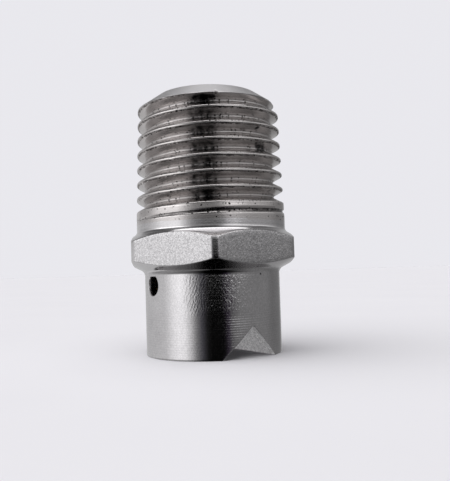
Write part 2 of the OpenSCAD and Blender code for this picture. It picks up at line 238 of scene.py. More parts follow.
def body_mesh():
    N = 240
    th = columns(N)
    thc = np.append(th, TAU)
    blocks = []          # each: dict of (rows, columns) arrays; closed blocks repeat the first column at the end

    def grid(rows):
        """rows: list of (radius, height, kind, cut) over the columns 0..N."""
        R = np.array([np.broadcast_to(r[0], (N + 1,)) for r in rows], float)
        Z = np.array([np.broadcast_to(r[1], (N + 1,)) for r in rows], float)
        C = np.array([np.broadcast_to(r[3], (N + 1,)) for r in rows], float)
        K = np.array([np.full(N + 1, r[2]) for r in rows], float)
        T = np.tile(thc, (len(rows), 1))
        return dict(R=R, Z=Z, C=C, K=K, T=T, hole=None)

    # ---- outlet end, from the tip hole out to the rim, then the skirt, the hexagon and the shoulder
    ct = np.cos(thc)
    rows = []
    brk = 0.035 + 0.075 * np.clip((np.abs(SKIRT_R * ct) - V_DEPTH) / 0.5, 0, 1)
    rim = SKIRT_R - brk
    rs = np.clip(V_DEPTH / np.maximum(np.abs(ct), 1e-6), TIP_R, rim - 0.14)
    for s in np.linspace(0, 1, 19)[:-1]:
        r = TIP_R + (rs - 0.07 - TIP_R) * s
        rows.append((r, v_surface(r * ct), 3, 0))
    for s in np.linspace(0, 1, 7):
        r = rs - 0.07 + 0.14 * s
        rows.append((r, v_surface(r * ct), 3, 0))
    for s in np.linspace(0, 1, 12)[1:]:
        r = rs + 0.07 + (rim - rs - 0.07) * s
        rows.append((r, v_surface(r * ct), 3, 0))
    z_rim = v_surface(SKIRT_R * ct)
    for q in (math.radians(30), math.radians(60), math.radians(90)):
        rows.append((rim + brk * math.sin(q), z_rim + brk * (1 - math.cos(q)), 3 if q < 1 else 0, 0))
    z_c0 = z_rim + brk
    first_c, nC = len(rows), 46
    for s in np.linspace(0, 1, nC + 1)[1:]:
        rows.append((np.full(N + 1, SKIRT_R), z_c0 + (7.03 - z_c0) * s, 0, 0))
    last_c = len(rows) - 1
    hexr = smin(FLAT_R / np.cos(np.mod(thc, math.pi / 3) - math.pi / 6), np.full(N + 1, CORNER_R), CORNER_K)
    z_lo = HEX_Z0 + (hexr - FLAT_R) * math.tan(SLOPE_LO)
    z_hi = HEX_Z1 - (hexr - FLAT_R) * math.tan(SLOPE_HI)
    hz = [np.full(N + 1, z) for z in np.linspace(7.08, 7.568, 9)]
    hz += [7.568 + (z_lo - 0.05 - 7.568) * s for s in (0.25, 0.5, 0.75, 1)]
    hz += [z_lo + d for d in (-0.03, -0.014, 0, 0.014, 0.03, 0.052)]
    hz += [z_lo + 0.052 + (z_hi - z_lo - 0.112) * s for s in np.linspace(0, 1, 10)[1:]]
    hz += [z_hi + d for d in (-0.036, -0.018, 0, 0.018, 0.036, 0.058)]
    hz += [z_hi + 0.058 + (10.76 - z_hi - 0.058) * s for s in (0.33, 0.66, 1)]
    hz += [np.full(N + 1, z) for z in (10.81, 10.86, 10.91, 10.96, 11.01, 11.06, 11.12, 11.18, 11.24)]
    ZB = 11.30
    hz.append(np.full(N + 1, ZB))
    for z in hz:
        r, cut = outer_radius(thc, z)
        rows.append((r, z, 1 if 7.6 < z.mean() < 10.75 else 0, cut))
    A = grid(rows)

    # ---- the thread: its rows follow the helix, with a wedge of rows below and above to close the rings
    half = [0.0, 0.05, 0.09, 0.125, 0.17, 0.36, 0.48, 0.52, 0.555, 0.60]
    feat = sorted([-d for d in half[1:]] + half + [PITCH / 2])
    phase = ZB - (CREST_Z - PITCH / 2)
    frac = sorted({round(((f - phase) / PITCH) % 1.0, 9) for f in feat} | {0.0})
    Kp = len(frac)
    F = lambda m: m // Kp + frac[m % Kp]
    M = 0
    while ZB + PITCH * (F(M + 1) + 1) <= L - 0.07:
        M += 1
    ZT = ZB + PITCH * (F(M) + 1)
    u = thc / TAU
    trows = []
    for k in range(0, Kp):
        trows.append(ZB + PITCH * frac[k] * u)
    for m in range(0, M + 1):
        trows.append(ZB + PITCH * (F(m) + u))
    for k in range(1, Kp + 1):
        trows.append(ZB + PITCH * (F(M) + u) + PITCH * (F(M + k) - F(M)) * (1 - u))
    rows = []
    for z in trows:
        r, cut = outer_radius(thc, z)
        rows.append((r, z, 2, cut))
    B = grid(rows)

    # ---- inlet end and bore
    rows = []
    for z in np.linspace(ZT, L - 0.025, 4):
        r, cut = outer_radius(thc, np.full(N + 1, z))
        rows.append((r, z, 4, cut))
    for r, z, k in [(END_R - 0.025, L - 0.006, 4), (END_R - 0.06, L, 4), (4.4, L, 4), (4.24, L, 4), (4.16, L, 4), (4.12, L - 0.012, 4),
                    (4.08, L - 0.04, 4), (3.95, L - 0.17, 4), (3.84, L - 0.28, 4), (BORE_R, L - 0.34, 5), (BORE_R, L - 0.6, 5),
                    (BORE_R, L - 1.6, 5), (BORE_R, 20.6, 5), (BORE_R, 19.4, 5), (BORE_R, 18.24, 5), (BORE_R + 0.03, 18.20, 5),
                    (BORE_R + 0.35, 18.20, 5), (BORE_R + 0.35, 17.60, 5), (BORE_R + 0.03, 17.60, 5), (BORE_R, 17.57, 5),
                    (BORE_R, 16.0, 5), (BORE_R, 13.0, 5), (BORE_R, 10.0, 5), (BORE_R, 8.6, 5)]:
        rows.append((r, z, k, 0))
    first_f = len(rows)
    for z in np.linspace(7.95, 5.06, 20):
        rows.append((BORE_R, z, 5, 0))
    last_f = len(rows) - 1
    for r, z in [(BORE_R - 0.02, 5.0), (HEAD_R + 0.02, 5.0), (HEAD_R, 4.96), (HEAD_R, 4.0), (TIP_R + 0.02, 4.0), (TIP_R, 3.97), (TIP_R, 3.4)]:
        rows.append((r, z, 5, 0))
    zv = v_surface(TIP_R * ct)
    rows.append((TIP_R, (zv + 3.4) / 2, 5, 0))
    rows.append((TIP_R, zv, 5, 0))
    Cb = grid(rows)

    # ---- the air port: a block of cells on the skirt and on the bore is opened, its edge drawn onto a circle
    t0 = math.pi
    cols = [i for i in range(N) if abs(th[i] - t0) < math.asin(PORT_R / SKIRT_R) * 0.97]
    c0, c1 = cols[0], cols[-1]
    zc_col = A["Z"][first_c:last_c + 1, (c0 + c1) // 2]
    rc = [first_c + j for j in range(len(zc_col)) if abs(zc_col[j] - PORT_Z) < PORT_R * 0.97]
    j0, j1 = rc[0], rc[-1]
    nr = j1 - j0
    mid = int(np.argmin(np.abs(Cb["Z"][first_f:last_f + 1, 0] - PORT_Z)))
    f0 = first_f + mid - nr // 2
    f1 = f0 + nr

    def morph(G, ja, jb, wall_r, hole_r, span_j, zrow_lo, zrow_hi, out_u):
        T, Z = G["T"], G["Z"]
        u0 = (wall_r * math.sin(th[c0] - t0), wall_r * math.sin(th[c1] - t0))
        umid, ua = (u0[0] + u0[1]) / 2, abs(u0[1] - u0[0]) / 2
        za, zb = Z[ja, c0], Z[jb, c0]
        zm, va = (za + zb) / 2, abs(zb - za) / 2
        for j in range(span_j[0], span_j[1] + 1):
            for i in range(N):
                if abs(th[i] - t0) > 1.2:
                    continue
                u = wall_r * math.sin(th[i] - t0) - umid
                v = Z[j, i] - zm
                su, sv = abs(u) / ua, abs(v) / va
                tu = (abs(u) - ua) / (out_u - ua)
                room = (zrow_hi - zm - va) if v > 0 else (zm - va - zrow_lo)
                w = max(tu, (abs(v) - va) / room)
                if w > 1:
                    continue
                w = max(w, 0.0)
                if su >= sv:
                    a = (0 if u > 0 else math.pi) + math.pi / 4 * (v / va) / (u / ua)
                else:
                    a = (math.pi / 2 if v > 0 else -math.pi / 2) - math.pi / 4 * (u / ua) / (v / va)
                nu = hole_r * math.cos(a) * (1 - w) + (u + umid) * w
                nv = hole_r * math.sin(a) * (1 - w) + (v + zm - PORT_Z) * w
                T[j, i] = t0 + math.asin(max(-0.999, min(0.999, nu / wall_r)))
                Z[j, i] = PORT_Z + nv

    j_lo = first_c + int(nC * 0.45)
    morph(A, j0, j1, SKIRT_R, PORT_R + 0.05, (j_lo + 1, last_c - 1), A["Z"][j_lo, (c0 + c1) // 2], 7.3, 2.0)
    morph(Cb, f1, f0, BORE_R, PORT_R, (first_f + 1, last_f - 1), 5.06, 7.95, 2.4)

    verts, faces, kind, cutv, wind = [], [], [], [], []
    base = 0
    offs = []
    for G, hole in ((A, (j0, j1)), (B, None), (Cb, (f0, f1))):
        nrow = G["R"].shape[0]
        X, Y = G["R"] * np.cos(G["T"]), G["R"] * np.sin(G["T"])
        verts.append(np.stack([X, Y, G["Z"]], -1).reshape(-1, 3))
        kind.append(G["K"].reshape(-1))
        cutv.append(G["C"].reshape(-1))
        offs.append(base)
        W = N + 1
        for j in range(nrow - 1):
            opened = hole is not None and hole[0] <= j < hole[1]
            for i in range(N):
                if opened and c0 <= i < c1:
                    continue
                q = base + j * W + i
                faces.append((q, q + 1, q + W + 1, q + W))
        base += nrow * W
    W = N + 1

    def loop(off, ja, jb):
        """Indices round the opened block, from the low corner."""
        st = 1 if jb > ja else -1
        idx = lambda j, i: off + j * W + i
        return ([idx(ja, i) for i in range(c0, c1)] + [idx(j, c1) for j in range(ja, jb, st)]
                + [idx(jb, i) for i in range(c1, c0, -1)] + [idx(j, c0) for j in range(jb, ja, -st)])

    allv = np.concatenate(verts)
    outer, inner = loop(offs[0], j0, j1), loop(offs[2], f1, f0)
    pts_o = allv[outer]
    ang = np.arctan2(pts_o[:, 2] - PORT_Z, pts_o[:, 1])
    prev, extra = outer, []
    for dep, rr in [(0.022, PORT_R + 0.018), (0.06, PORT_R), (0.5, PORT_R), (1.2, PORT_R), (1.9, PORT_R)]:
        ring = np.stack([pts_o[:, 0] + dep, rr * np.cos(ang), PORT_Z + rr * np.sin(ang)], -1)
        cur = list(range(base, base + len(ring)))
        base += len(ring)
        extra.append(ring)
        n = len(cur)
        for q in range(n):
            faces.append((prev[q], prev[(q + 1) % n], cur[(q + 1) % n], cur[q]))
        prev = cur
    for q in range(n):
        faces.append((prev[q], prev[(q + 1) % n], inner[(q + 1) % n], inner[q]))
    pad = sum(len(e) for e in extra)
    allv = np.concatenate([allv] + extra)
    k = np.concatenate(kind + [np.full(pad, 5.0)])
    cut = np.concatenate(cutv + [np.zeros(pad)])
    th_v = np.arctan2(allv[:, 1], allv[:, 0])
    flat = FLAT_R / np.cos(np.mod(th_v, math.pi / 3) - math.pi / 6)
    rv = np.hypot(allv[:, 0], allv[:, 1])
    ph = TAU * (allv[:, 2] - groove_centre(np.mod(th_v, TAU), 0)) / PITCH
    attrs = {
        "is_thread": ((k == 2) & (allv[:, 2] > 11.6)) * 1.0, "is_groove": (k == 3) * 1.0, "is_skirt": ((k == 0) & (allv[:, 2] < 7.6)) * 1.0,
        "is_bore": (k == 5) * 1.0, "is_end": (k == 4) * 1.0, "cavity": cut, "helix_c": np.cos(ph), "helix_s": np.sin(ph),
        "is_flat": np.clip(1 - (np.abs(rv - flat) - 0.004) / 0.02, 0, 1) * (k == 1) * (allv[:, 2] > HEX_Z0 - 0.1) * (allv[:, 2] < HEX_Z1 + 0.1)}
    # how near the surface is to the top chamfer cone
    cham = CH_R + (CH_Z - allv[:, 2]) * (CH_R - END_R) / (L - CH_Z)
    attrs["is_cone"] = np.clip(1 - (np.abs(rv - cham) - 0.03) / 0.03, 0, 1) * (allv[:, 2] > 21.9)
    ob = make_mesh("nozzle_body_shell", allv, faces, attrs)
    fix_normals(ob)
    ob.data.shade_smooth()
    ob.data.set_sharp_from_angle(angle=math.radians(50))
    return ob


# ------------------------------------------------------------------ materials
class Mat:
    """A Principled material with small helpers for the node tree. Lengths in the patterns are millimetres."""

    def __init__(self, name):
        self.m = bpy.data.materials.new(name)
        self.m.use_nodes = True
        self.t = self.m.node_tree
        self.p = self.t.nodes["Principled BSDF"]
        tc = self.t.nodes.new("ShaderNodeTexCoord")
        sc = self.t.nodes.new("ShaderNodeVectorMath")
        sc.operation = "SCALE"
        sc.inputs["Scale"].default_value = 1000.0
        self.t.links.new(tc.outputs["Object"], sc.inputs[0])
        self.mm = sc.outputs[0]

    def link(self, a, b):
        self.t.links.new(a, b)

    def math(self, op, a, b=0.0, clamp=False, c=None):
        n = self.t.nodes.new("ShaderNodeMath")
        n.operation = op
        n.use_clamp = clamp
        for s, v in zip(n.inputs, (a, b) if c is None else (a, b, c)):
            if isinstance(v, (int, float)):
                s.default_value = v
            else:
                self.link(v, s)
        return n.outputs[0]

    def attr(self, name):
        n = self.t.nodes.new("ShaderNodeAttribute")
        n.attribute_name = name
        return n.outputs["Fac"]

    def scaled(self, x, y, z):
        n = self.t.nodes.new("ShaderNodeVectorMath")
        n.operation = "MULTIPLY"
        self.link(self.mm, n.inputs[0])
        n.inputs[1].default_value = (x, y, z)
        return n.outputs[0]

    def noise(self, scale, detail=3.0, rough=0.55, vec=None, dist=0.0):
        n = self.t.nodes.new("ShaderNodeTexNoise")
        n.inputs["Scale"].default_value = scale
        n.inputs["Detail"].default_value = detail
        n.inputs["Roughness"].default_value = rough
        n.inputs["Distortion"].default_value = dist
        self.link(vec or self.mm, n.inputs["Vector"])
        return n.outputs["Fac"]

    def voronoi(self, scale, vec=None, feature="F1"):
        n = self.t.nodes.new("ShaderNodeTexVoronoi")
        n.feature = feature
        n.inputs["Scale"].default_value = scale
        self.link(vec or self.mm, n.inputs["Vector"])
        return n

    def wave(self, per_mm, direction="Z", dist=0.0, detail=2.0, dscale=1.0):
        """Bands across one axis; per_mm is bands to the millimetre."""
        n = self.t.nodes.new("ShaderNodeTexWave")
        n.wave_type = "BANDS"
        n.bands_direction = direction
        n.inputs["Scale"].default_value = per_mm * math.pi / 10 * 1.0
        n.inputs["Distortion"].default_value = dist
        n.inputs["Detail"].default_value = detail
        n.inputs["Detail Scale"].default_value = dscale
        self.link(self.mm, n.inputs["Vector"])
        return n.outputs["Fac"]

    def ramp(self, fac, stops):
        n = self.t.nodes.new("ShaderNodeValToRGB")
        e = n.color_ramp.elements
        while len(e) > 1:
            e.remove(e[-1])
        for i, (pos, col) in enumerate(stops):
            el = e[0] if i == 0 else e.new(pos)
            el.position = pos
            el.color = (*col, 1) if len(col) == 3 else col
        self.link(fac, n.inputs[0])
        return n.outputs["Color"]

    def span(self, v, a, b, lo=0.0, hi=1.0, smooth=True):
        n = self.t.nodes.new("ShaderNodeMapRange")
        n.interpolation_type = "SMOOTHSTEP" if smooth else "LINEAR"
        self.link(v, n.inputs["Value"])
        n.inputs["From Min"].default_value = a
        n.inputs["From Max"].default_value = b
        n.inputs["To Min"].default_value = lo
        n.inputs["To Max"].default_value = hi
        return n.outputs["Result"]

    def mix(self, fac, a, b):
        n = self.t.nodes.new("ShaderNodeMix")
        n.data_type = "RGBA"
        for sock, v in ((n.inputs["Factor"], fac), (n.inputs["A"], a), (n.inputs["B"], b)):
            if sock.type == "VALUE" and isinstance(v, (int, float)):
                sock.default_value = v
            elif isinstance(v, tuple):
                sock.default_value = (*v, 1)
            else:
                self.link(v, sock)
        return [o for o in n.outputs if o.type == "RGBA"][0]

    def mixf(self, fac, a, b):
        n = self.t.nodes.new("ShaderNodeMix")
        n.data_type = "FLOAT"
        for sock, v in ((n.inputs[0], fac), (n.inputs[2], a), (n.inputs[3], b)):
            if isinstance(v, (int, float)):
                sock.default_value = v
            else:
                self.link(v, sock)
        return n.outputs[0]

    def bump(self, height, dist_mm, strength=1.0, normal=None):
        n = self.t.nodes.new("ShaderNodeBump")
        n.inputs["Strength"].default_value = strength
        n.inputs["Distance"].default_value = dist_mm * MM
        self.link(height, n.inputs["Height"])
        if normal is not None:
            self.link(normal, n.inputs["Normal"])
        return n.outputs["Normal"]

    def z(self):
        n = self.t.nodes.new("ShaderNodeSeparateXYZ")
        self.link(self.mm, n.inputs[0])
        return n.outputs["Z"]

    def hatch(self, az, lean, per_mm, dist):
        """Fine wavy marks that run up the skirt, leaning a little."""
        t = math.radians(CAM_AZ + az)
        n = self.t.nodes.new("ShaderNodeVectorMath")
        n.operation = "DOT_PRODUCT"
        self.link(self.mm, n.inputs[0])
        n.inputs[1].default_value = (math.cos(t), math.sin(t), lean)
        c = self.t.nodes.new("ShaderNodeCombineXYZ")
        self.link(n.outputs["Value"], c.inputs["X"])
        self.link(self.z(), c.inputs["Y"])
        w = self.t.nodes.new("ShaderNodeTexWave")
        w.wave_type, w.bands_direction = "BANDS", "X"
        w.inputs["Scale"].default_value = per_mm * math.pi / 10
        w.inputs["Distortion"].default_value = dist
        w.inputs["Detail"].default_value = 2.0
        w.inputs["Detail Scale"].default_value = 1.6
        self.link(c.outputs[0], w.inputs["Vector"])
        return w.outputs["Fac"]

    def distance(self, az, z, r):
        """Distance from a point on the surface, in mm."""
        t = math.radians(CAM_AZ + az)
        n = self.t.nodes.new("ShaderNodeVectorMath")
        n.operation = "DISTANCE"
        self.link(self.mm, n.inputs[0])
        n.inputs[1].default_value = (r * math.sin(t), -r * math.cos(t), z)
        return n.outputs["Value"]

    def toward(self, degrees):
        """Cosine of the angle about Z from a direction, counted to the right of the front."""
        t = math.radians(CAM_AZ + degrees)
        n = self.t.nodes.new("ShaderNodeVectorMath")
        n.operation = "MULTIPLY"
        self.link(self.mm, n.inputs[0])
        n.inputs[1].default_value = (1, 1, 0)
        u = self.t.nodes.new("ShaderNodeVectorMath")
        u.operation = "NORMALIZE"
        self.link(n.outputs[0], u.inputs[0])
        d = self.t.nodes.new("ShaderNodeVectorMath")
        d.operation = "DOT_PRODUCT"
        self.link(u.outputs[0], d.inputs[0])
        d.inputs[1].default_value = (math.sin(t), -math.cos(t), 0)
        return d.outputs["Value"]

    def radius(self):
        n = self.t.nodes.new("ShaderNodeSeparateXYZ")
        self.link(self.mm, n.inputs[0])
        x2 = self.math("MULTIPLY", n.outputs["X"], n.outputs["X"])
        y2 = self.math("MULTIPLY", n.outputs["Y"], n.outputs["Y"])
        return self.math("SQRT", self.math("ADD", x2, y2))

    def done(self, colour, rough, normal=None, metallic=1.0):
        if isinstance(colour, tuple):
            self.p.inputs["Base Color"].default_value = (*colour, 1)
        else:
            self.link(colour, self.p.inputs["Base Color"])
        if isinstance(rough, (int, float)):
            self.p.inputs["Roughness"].default_value = rough
        else:
            self.link(rough, self.p.inputs["Roughness"])
        self.p.inputs["Metallic"].default_value = metallic
        if normal is not None:
            self.link(normal, self.p.inputs["Normal"])
        return self.m


def body_material():
    m = Mat("stainless_body")
    flat, thr, grv, cav = m.attr("is_flat"), m.attr("is_thread"), m.attr("is_groove"), m.attr("cavity")
    skirt, bore, cone = m.attr("is_skirt"), m.attr("is_bore"), m.attr("is_cone")
    hc, hs = m.attr("helix_c"), m.attr("helix_s")
    mul, add = (lambda *v: m.math("MULTIPLY", *v)), (lambda *v: m.math("ADD", *v))
    z = m.z()
    thr = mul(thr, m.math("SUBTRACT", 1.0, cone))
    # heights of the surface, in units of the bump distance (0.01 mm)
    feed = m.wave(5.0, "Z", 0.25, 1.0, 0.6)                             # turning marks, 0.2 mm apart
    rings = m.noise(1.0, 2.0, 0.6, m.scaled(0.04, 0.04, 14.0))
    grain = m.noise(6.5, 3.0, 0.65)
    fine = m.noise(15.0, 2.0, 0.6)
    ripple = add(mul(m.hatch(8, -0.32, 3.9, 7.0), 0.16), mul(m.noise(1.0, 2.0, 0.5, m.scaled(5.2, 5.2, 2.9), 1.4), 0.84))
    low = m.span(z, 4.3, 3.4)
    mid = mul(mul(m.span(z, 3.4, 4.3), m.span(z, 7.3, 6.8)), skirt)
    mid = mul(mid, m.mixf(m.span(m.toward(5), 0.76, 0.96), 0.12, 1.0))
    lined = m.mixf(m.span(m.toward(34), 0.86, 0.97), 0.10, 0.56)
    h_turn = add(mul(rings, m.mixf(skirt, 0.035, 0.16)), mul(feed, m.mixf(low, m.mixf(skirt, 0.025, 0.06), lined)))
    mid = mul(mid, m.mixf(m.span(m.toward(0), 0.975, 0.997), 1.0, 0.52))
    h_turn = add(h_turn, mul(mul(ripple, mid), 2.0))
    h_turn = add(h_turn, add(mul(fine, 0.14), mul(grain, 0.24)))
    h_flat = add(mul(grain, 1.5), mul(fine, 0.8))
    h_grv = add(mul(grain, 6.5), mul(fine, 3.0))
    h = m.mixf(flat, m.mixf(grv, h_turn, h_grv), h_flat)
    normal = m.bump(h, 0.010)
    # colour
    big = m.noise(0.55, 3.0, 0.6)
    base = m.ramp(big, [(0.3, (0.612, 0.598, 0.604)), (0.7, (0.683, 0.668, 0.674))])
    col = m.mix(mul(thr, 0.58), base, (0.548, 0.508, 0.486))
    g = m.span(grain, 0.36, 0.64)
    col = m.mix(mul(g, m.mixf(flat, m.mixf(grv, m.mixf(skirt, 0.10, 0.20), 0.88), 0.54)), col, (0.22, 0.215, 0.22))
    col = m.mix(mul(m.span(fine, 0.46, 0.66), m.mixf(flat, m.mixf(grv, m.mixf(skirt, 0.05, 0.14), 0.75), 0.50)), col, (0.98, 0.972, 0.975))
    col = m.mix(mul(mul(feed, low), mul(skirt, 0.10)), col, (0.25, 0.24, 0.25))
    coarse = m.span(m.noise(3.3, 4.0, 0.7), 0.42, 0.62)
    col = m.mix(mul(mul(coarse, grv), 0.42), col, (0.20, 0.195, 0.205))
    col = m.mix(mul(flat, 0.20), col, (0.10, 0.10, 0.105))
    col = m.mix(mul(cone, 0.26), col, (0.10, 0.10, 0.10))
    # residue in the thread roots and specks along the crest edges, with painted shade in the roots, under the crests
    # and in the run-out of the last turn, and a painted dark reflection down the front of the roots
    root = m.span(hc, 0.50, 0.95)
    soot = m.noise(3.4, 5.0, 0.7)
    # painted shade and residue: the deep thread roots are darkened, a steady part for the shade in the groove and a
    # noisy part for residue
    stain = mul(mul(root, m.mixf(m.span(soot, 0.40, 0.62), 0.55, 1.0)), mul(thr, m.span(cav, 0.3, 0.8)))
    col = m.mix(mul(stain, 0.10), col, (0.09, 0.08, 0.075))
    # residue and painted shade: a reddish dark band just under each crest, in noisy patches
    under = mul(mul(m.span(hc, -0.45, -0.68), m.span(hc, -0.97, -0.86)), m.span(hs, 0.0, 0.25))
    under = mul(mul(mul(under, thr), m.span(m.noise(3.6, 3.0, 0.7), 0.42, 0.56)), m.span(z, 13.6, 14.2))
    col = m.mix(mul(under, 0.66), col, (0.060, 0.040, 0.034))
    # painted shade and residue: the run-out groove of the last turn is darkened in noisy patches
    run = mul(mul(m.span(z, 13.1, 12.7), thr), m.span(cav, 0.025, 0.07))
    col = m.mix(mul(run, m.mixf(m.span(m.noise(2.4, 3.0), 0.4, 0.6), 0.55, 0.92)), col, (0.05, 0.045, 0.045))
    # painted dark reflection with residue: a near-black streak in the thread roots down the column that faces the
    # camera, broken up by noise
    streak_noise = m.span(m.noise(3.2, 5.0, 0.75), 0.40, 0.56)
    streak = mul(m.span(m.toward(-4), 0.974, 0.992), mul(m.span(hc, -0.35, 0.25), m.span(hs, 0.55, 0.10)))
    streak = mul(mul(streak, streak_noise), mul(thr, m.span(cav, 0.12, 0.4)))
    col = m.mix(mul(streak, 0.95), col, (0.010, 0.009, 0.009))
    for az, zz_, rr, size in MARKS:
        near = mul(m.span(m.distance(az, zz_, rr), size, size * 0.6), m.span(m.noise(4.6, 4.0, 0.75), 0.40, 0.47))
        col = m.mix(mul(near, 0.96), col, (0.010, 0.010, 0.012))
    specks = m.span(m.voronoi(3.6).outputs["Distance"], 0.33, 0.23)
    some = m.span(m.noise(1.1, 2.0), 0.41, 0.48)
    edge_band = m.math("MAXIMUM", m.span(hc, 0.60, 0.80), mul(m.span(hc, -0.30, -0.60), m.span(hc, -0.999, -0.93)))
    spk = mul(mul(specks, some), mul(thr, edge_band))
    col = m.mix(mul(spk, 0.96), col, (0.012, 0.010, 0.011))
    rough = m.mixf(flat, m.mixf(thr, m.mixf(grv, 0.12, 0.33), 0.19), 0.17)
    rough = m.mixf(cone, rough, 0.42)
    rough = add(rough, mul(m.math("SUBTRACT", m.noise(6.0, 3.0), 0.5), 0.08))
    rough = m.mixf(m.math("MAXIMUM", m.math("MAXIMUM", spk, under), mul(stain, 0.6)), rough, 0.6)
    return m.done(col, rough, normal)


def turned_metal(name, light, dark, rough, ring=16.0, depth=0.004, stain=None):
    m = Mat(name)
    rings = m.noise(1.0, 2.0, 0.6, m.scaled(0.05, 0.05, ring))
    rad = m.radius()
    face = m.t.nodes.new("ShaderNodeTexNoise")
    face.noise_dimensions = "1D"
    face.inputs["Scale"].default_value = 14.0
    face.inputs["Detail"].default_value = 2.0
    m.link(rad, face.inputs["W"])
    fine = m.noise(26.0, 2.0, 0.6)
    h = m.math("ADD", m.math("ADD", rings, face.outputs["Fac"]), m.math("MULTIPLY", fine, 0.12))
    col = m.ramp(m.noise(0.9, 4.0, 0.6), [(0.32, dark), (0.68, light)])
    if stain:
        col = m.mix(m.math("MULTIPLY", m.span(m.noise(2.4, 4.0, 0.65), 0.5, 0.72), 0.55), col, stain)
    r = m.math("ADD", m.math("MULTIPLY", m.noise(7.0, 3.0), 0.16), rough - 0.08)
    return m.done(col, r, m.bump(h, depth))


def rubber_material():
    m = Mat("black_rubber")
    col = m.ramp(m.noise(3.0, 4.0, 0.6), [(0.3, (0.012, 0.012, 0.012)), (0.7, (0.03, 0.029, 0.028))])
    r = m.math("ADD", m.math("MULTIPLY", m.noise(9.0, 3.0), 0.2), 0.45)
    return m.done(col, r, m.bump(m.noise(22.0, 3.0, 0.6), 0.006), 0.0)


def gasket_material():
    m = Mat("white_gasket")
    col = m.ramp(m.noise(6.0, 5.0, 0.65), [(0.3, (0.62, 0.60, 0.54)), (0.7, (0.80, 0.79, 0.74))])
    r = m.math("ADD", m.math("MULTIPLY", m.noise(12.0, 3.0), 0.2), 0.55)
    return m.done(col, r, m.bump(m.noise(1.0, 4.0, 0.7, m.scaled(16, 5, 10)), 0.02), 0.0)


def paint(node, mat):
    ob = frame["nodes"][node]
    ob.data.materials.clear()
    ob.data.materials.append(mat)
    for poly in ob.data.polygons:
        poly.material_index = 0


# ------------------------------------------------------------------ the pieces
steel = body_material()
body = body_mesh()
body.data.materials.append(steel)
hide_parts("nozzle_body")
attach(body, "body")

brass = turned_metal("turned_brass", (0.78, 0.60, 0.29), (0.64, 0.47, 0.21), 0.27, stain=(0.36, 0.25, 0.12))
insert_m = turned_metal("hardened_insert", (0.40, 0.40, 0.41), (0.30, 0.30, 0.31), 0.30, ring=10.0, depth=0.003)
copper = turned_metal("copper_seal", (0.80, 0.44, 0.29), (0.62, 0.31, 0.20), 0.34, stain=(0.26, 0.14, 0.09))
wire_m = turned_metal("spring_wire", (0.66, 0.66, 0.66), (0.52, 0.52, 0.53), 0.24, ring=8.0, depth=0.002)
ball_m = turned_metal("polished_ball", (0.80, 0.80, 0.81), (0.72, 0.72, 0.73), 0.13, ring=3.0, depth=0.0008)
dark_m = turned_metal("phosphated_spring_steel", (0.12, 0.12, 0.125), (0.06, 0.06, 0.065), 0.46, ring=12.0, depth=0.004)
cloth_m = turned_metal("wire_cloth", (0.66, 0.65, 0.62), (0.50, 0.49, 0.47), 0.28, ring=8.0, depth=0.002, stain=(0.20, 0.17, 0.13))
for node in ("venturi_tube", "metering_jet", "spring_cage", "valve_seat", "strainer_core", "strainer_cap"):
    paint(node, brass)
paint("orifice_insert", insert_m)
paint("jet_washer", copper)
for node, mat in (("valve_ball", ball_m), ("valve_spring", wire_m), ("retaining_ring", dark_m), ("strainer_mesh", cloth_m)):
    paint(node, mat)
paint("seat_o_ring", rubber_material())
paint("strainer_gasket", gasket_material())

# ---- the small inner pieces, as rounded shapes
def tubes(name, paths, r, k=8, closed=False):
    """Round wires along paths (each n x 3, mm) that run about the axis."""
    verts, faces, base = [], [], 0
    q = np.arange(k) * TAU / k
    for path in paths:
        n = len(path)
        tan = np.roll(path, -1, 0) - np.roll(path, 1, 0) if closed else np.gradient(path, axis=0)
        tan /= np.linalg.norm(tan, axis=1)[:, None]
        ref = path * (1, 1, 0)
        ref /= np.linalg.norm(ref, axis=1)[:, None]
        b = np.cross(tan, ref)
        b /= np.linalg.norm(b, axis=1)[:, None]
        nn = np.cross(b, tan)
        ring = path[:, None, :] + r * (np.cos(q)[None, :, None] * nn[:, None, :] + np.sin(q)[None, :, None] * b[:, None, :])
        verts.append(ring.reshape(-1, 3))
        for i in range(n if closed else n - 1):
            for j in range(k):
                a0, a1 = base + i * k, base + (i + 1) % n * k
                faces.append((a0 + j, a0 + (j + 1) % k, a1 + (j + 1) % k, a1 + j))
        if not closed:
            faces.append(tuple(base + j for j in range(k))[::-1])
            faces.append(tuple(base + (n - 1) * k + j for j in range(k)))
        base += n * k
    return make_mesh(name, np.concatenate(verts), faces)


def swept(name, profile, a0, a1, n, closed=False):
    """A profile of (radius, height) points carried about the axis from a0 to a1 degrees."""
    m_ = len(profile)
    pr = np.array(profile, float)
    t = np.radians(np.linspace(a0, a1, n, endpoint=not closed))
    verts = np.stack([np.outer(np.cos(t), pr[:, 0]), np.outer(np.sin(t), pr[:, 0]), np.tile(pr[:, 1], (n, 1))], -1).reshape(-1, 3)
    faces = []
    for i in range(n if closed else n - 1):
        for j in range(m_):
            p0, p1 = i * m_, (i + 1) % n * m_
            faces.append((p0 + j, p0 + (j + 1) % m_, p1 + (j + 1) % m_, p1 + j))
    if not closed:
        faces.append(tuple(range(m_)))
        faces.append(tuple((n - 1) * m_ + j for j in range(m_))[::-1])
    return make_mesh(name, verts, faces, sharp=24)


def finish_piece(ob, node, mat, carrier=None):
    ob.data.materials.append(mat)
    fix_normals(ob)
    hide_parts(node)
    if carrier:
        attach(ob, carrier)
    return ob


